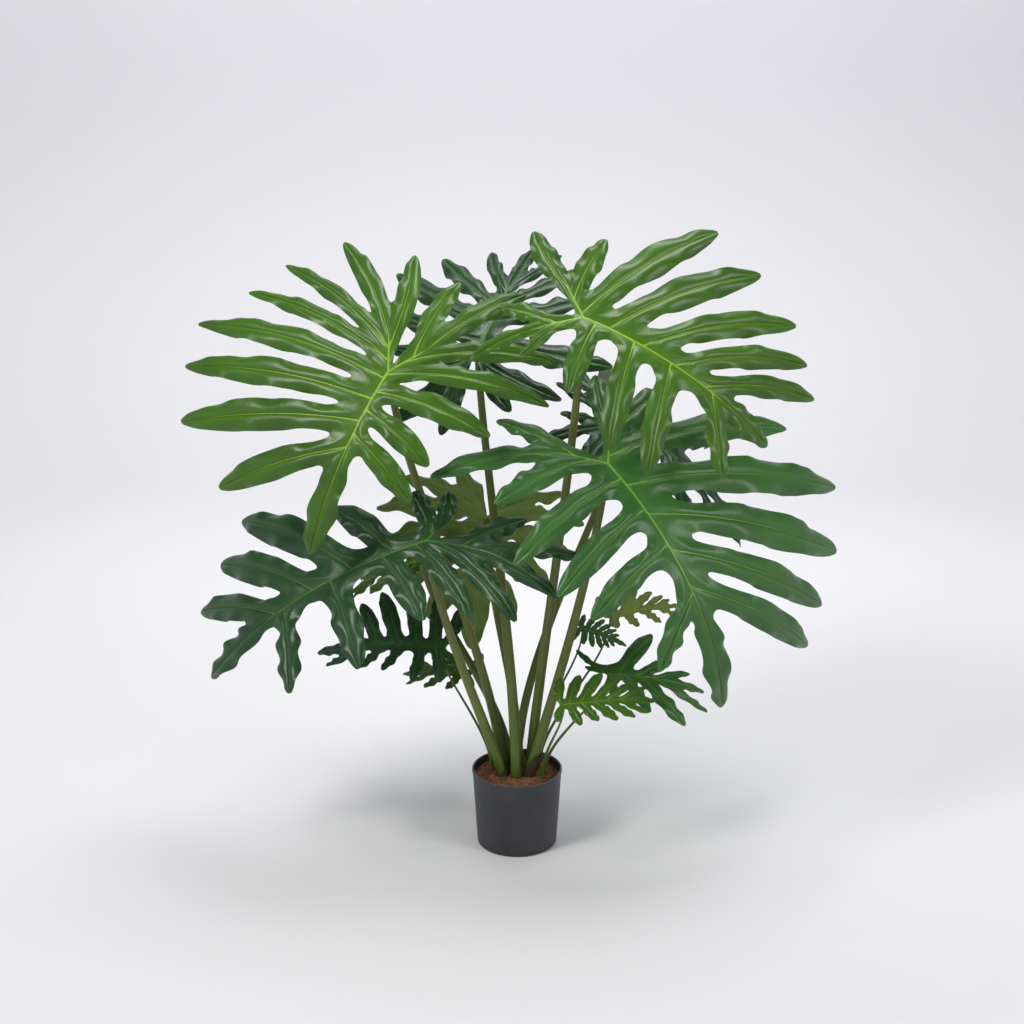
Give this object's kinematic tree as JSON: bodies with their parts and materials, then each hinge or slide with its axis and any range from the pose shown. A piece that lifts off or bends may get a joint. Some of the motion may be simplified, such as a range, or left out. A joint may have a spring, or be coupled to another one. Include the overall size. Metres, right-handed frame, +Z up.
{
  "type": "split-leaf philodendron in a nursery pot",
  "caption": "Broad deeply lobed philodendron leaves on long arching stalks, rising from one crown in soil in a plain black nursery pot",
  "frame": {"origin": "middle of the pot's flat underside, where it rests", "axes": "+Z up along the pot's axis; the front, as in the picture, faces -Y; +X is to the viewer's right"},
  "size_m": [1.0662, 0.5595, 1.0183],
  "materials": {
    "leaf_bright": "satin yellow-green leaf with paler lime veins and a thin light margin, lighter and duller underneath",
    "leaf_middle": "satin mid-green leaf with paler veins, lighter olive underneath",
    "leaf_dark": "satin dark blue-green leaf with soft paler veins, lighter underneath",
    "stalk": "olive-green smooth stalk, greener at the foot, with faint lengthwise streaks and a brown sheath at the crown",
    "pot": "charcoal-black matte moulded plastic with a soft sheen and a thin lighter rim",
    "soil": "reddish-brown crumbly coir topping with tan specks over a solid filling"
  },
  "bodies": {
    "root": {"pot": "pot", "soil": "soil", "blade_upper_left": "leaf_bright", "stalk_upper_left": "stalk", "blade_upper_right": "leaf_bright", "stalk_upper_right": "stalk", "blade_middle_right": "leaf_middle", "stalk_middle_right": "stalk", "blade_lower_left": "leaf_dark", "stalk_lower_left": "stalk", "blade_back_centre": "leaf_middle", "stalk_back_centre": "stalk", "blade_back_top": "leaf_dark", "stalk_back_top": "stalk", "blade_back_right": "leaf_dark", "stalk_back_right": "stalk", "blade_back_left": "leaf_bright", "stalk_back_left": "stalk", "blade_small_left": "leaf_dark", "stalk_small_left": "stalk", "blade_small_left_back": "leaf_bright", "stalk_small_left_back": "stalk", "blade_small_right_low": "leaf_bright", "stalk_small_right_low": "stalk", "blade_small_right": "leaf_middle", "stalk_small_right": "stalk", "blade_small_right_back": "leaf_bright", "stalk_small_right_back": "stalk", "blade_small_back": "leaf_middle", "stalk_small_back": "stalk"}
  },
  "joints": []
}
